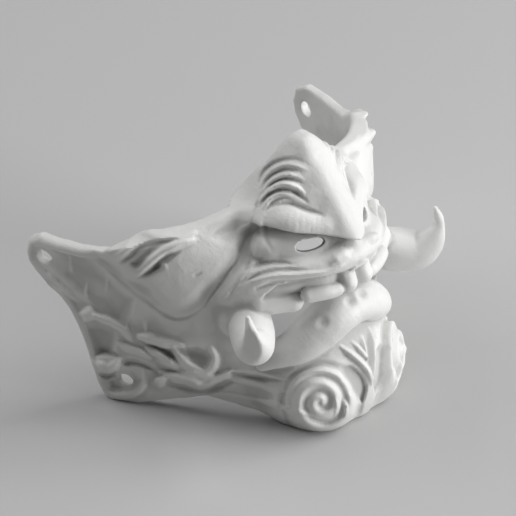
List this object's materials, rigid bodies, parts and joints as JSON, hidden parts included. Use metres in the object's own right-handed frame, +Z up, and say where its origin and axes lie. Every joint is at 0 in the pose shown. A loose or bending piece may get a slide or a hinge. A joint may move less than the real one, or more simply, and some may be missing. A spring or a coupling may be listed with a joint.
{
  "type": "samurai mask",
  "caption": "One-piece samurai half mask: a snarling demon's nose, mouth, tusks and chin with cheek flaps, open at the back, with strap holes.",
  "frame": {"origin": "middle of the mask's box, at the height of the surface it stands on", "axes": "+Z up, -Y the way the face looks, +X to the face's own left"},
  "size_m": [0.1595, 0.1217, 0.1215],
  "materials": {
    "mask": "matte, as printed"
  },
  "bodies": {
    "root": {"mask": "mask"}
  },
  "joints": []
}
